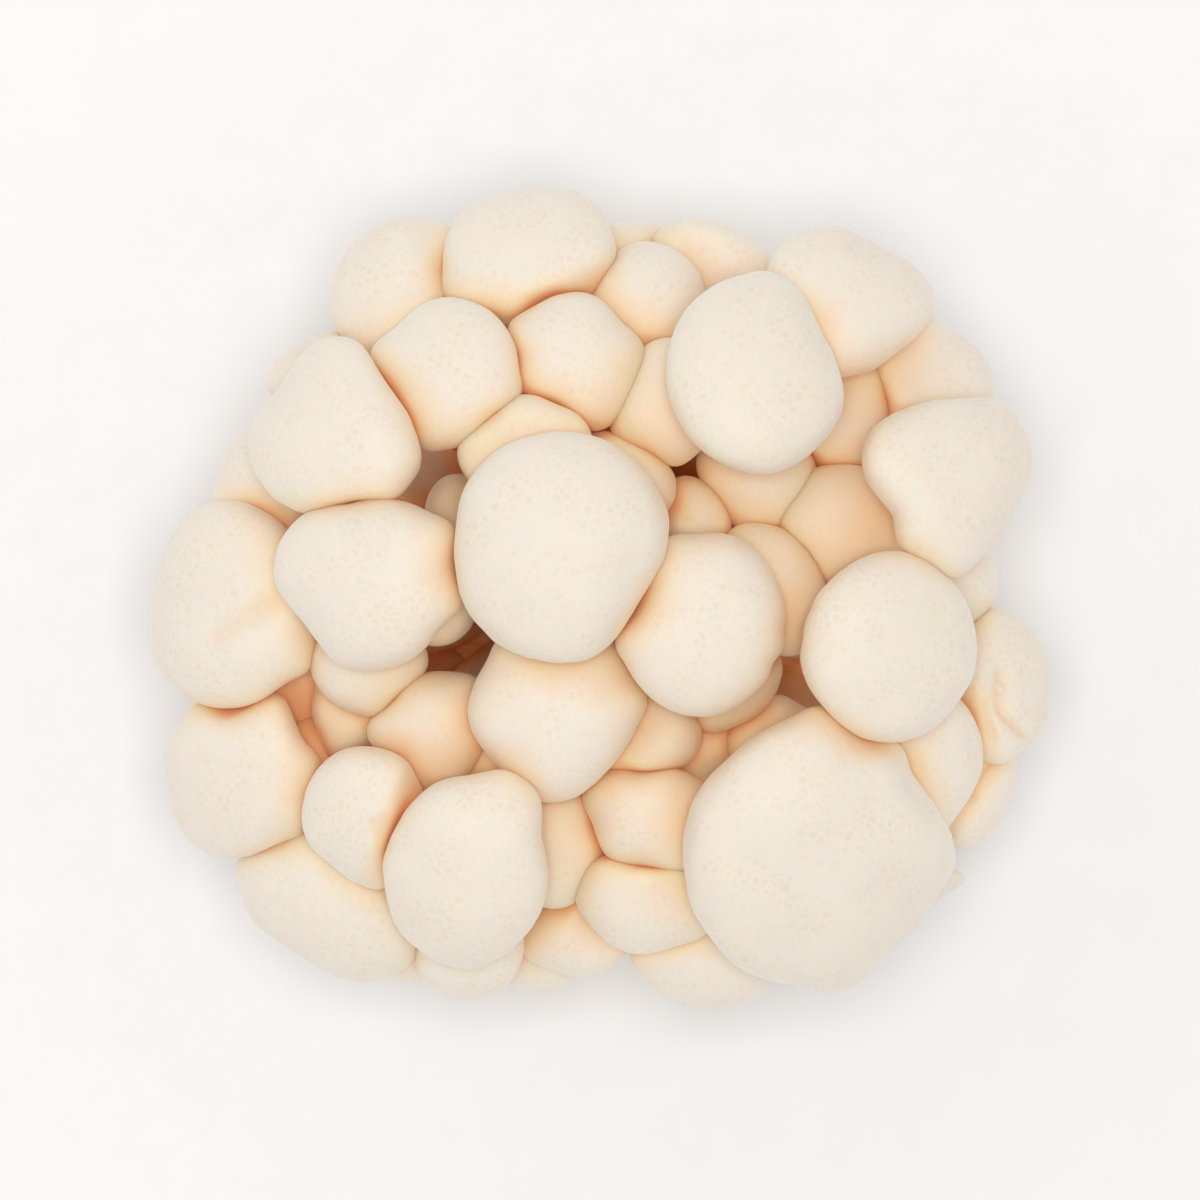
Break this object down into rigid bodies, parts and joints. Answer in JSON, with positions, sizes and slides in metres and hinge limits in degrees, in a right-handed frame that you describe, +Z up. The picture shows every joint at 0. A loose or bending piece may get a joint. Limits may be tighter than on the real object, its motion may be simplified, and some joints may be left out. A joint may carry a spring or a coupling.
{
  "type": "mushroom cluster",
  "caption": "Upright cluster of white beech mushrooms: rounded caps of many sizes crowded into one dome, on slender curved stems that rise from a shared foot with a flat cut face.",
  "frame": {"origin": "middle of the bounding box, on the plane of the foot's flat cut face", "axes": "+Z up from the cut face to the caps; +X along the crown's longer width; the largest cap is towards +X and -Y"},
  "size_m": [0.1012, 0.0922, 0.0907],
  "materials": {
    "white_flesh": null,
    "foot_flesh": null
  },
  "bodies": {
    "root": {"foot": "foot_flesh", "crown_mushroom_01": "white_flesh", "crown_mushroom_02": "white_flesh", "crown_mushroom_03": "white_flesh", "crown_mushroom_04": "white_flesh", "crown_mushroom_05": "white_flesh", "crown_mushroom_06": "white_flesh", "crown_mushroom_07": "white_flesh", "crown_mushroom_08": "white_flesh", "crown_mushroom_09": "white_flesh", "crown_mushroom_10": "white_flesh", "crown_mushroom_11": "white_flesh", "crown_mushroom_12": "white_flesh", "crown_mushroom_13": "white_flesh", "crown_mushroom_14": "white_flesh", "crown_mushroom_15": "white_flesh", "crown_mushroom_16": "white_flesh", "crown_mushroom_17": "white_flesh", "rim_mushroom_01": "white_flesh", "rim_mushroom_02": "white_flesh", "rim_mushroom_03": "white_flesh", "rim_mushroom_04": "white_flesh", "rim_mushroom_05": "white_flesh", "rim_mushroom_06": "white_flesh", "rim_mushroom_07": "white_flesh", "rim_mushroom_08": "white_flesh", "rim_mushroom_09": "white_flesh", "rim_mushroom_10": "white_flesh", "rim_mushroom_11": "white_flesh", "rim_mushroom_12": "white_flesh", "rim_mushroom_13": "white_flesh", "rim_mushroom_14": "white_flesh", "rim_mushroom_15": "white_flesh", "rim_mushroom_16": "white_flesh", "rim_mushroom_17": "white_flesh", "rim_mushroom_18": "white_flesh", "rim_mushroom_19": "white_flesh", "inner_mushroom_01": "white_flesh", "inner_mushroom_02": "white_flesh", "inner_mushroom_03": "white_flesh", "inner_mushroom_04": "white_flesh", "inner_mushroom_05": "white_flesh", "inner_mushroom_06": "white_flesh", "inner_mushroom_07": "white_flesh", "inner_mushroom_08": "white_flesh", "inner_mushroom_09": "white_flesh", "inner_mushroom_10": "white_flesh", "inner_mushroom_11": "white_flesh", "inner_mushroom_12": "white_flesh", "inner_mushroom_13": "white_flesh", "inner_mushroom_14": "white_flesh", "inner_mushroom_15": "white_flesh", "inner_mushroom_16": "white_flesh", "inner_mushroom_17": "white_flesh", "inner_mushroom_18": "white_flesh", "inner_mushroom_19": "white_flesh", "inner_mushroom_20": "white_flesh", "inner_mushroom_21": "white_flesh", "inner_mushroom_22": "white_flesh", "inner_mushroom_23": "white_flesh"}
  },
  "joints": []
}
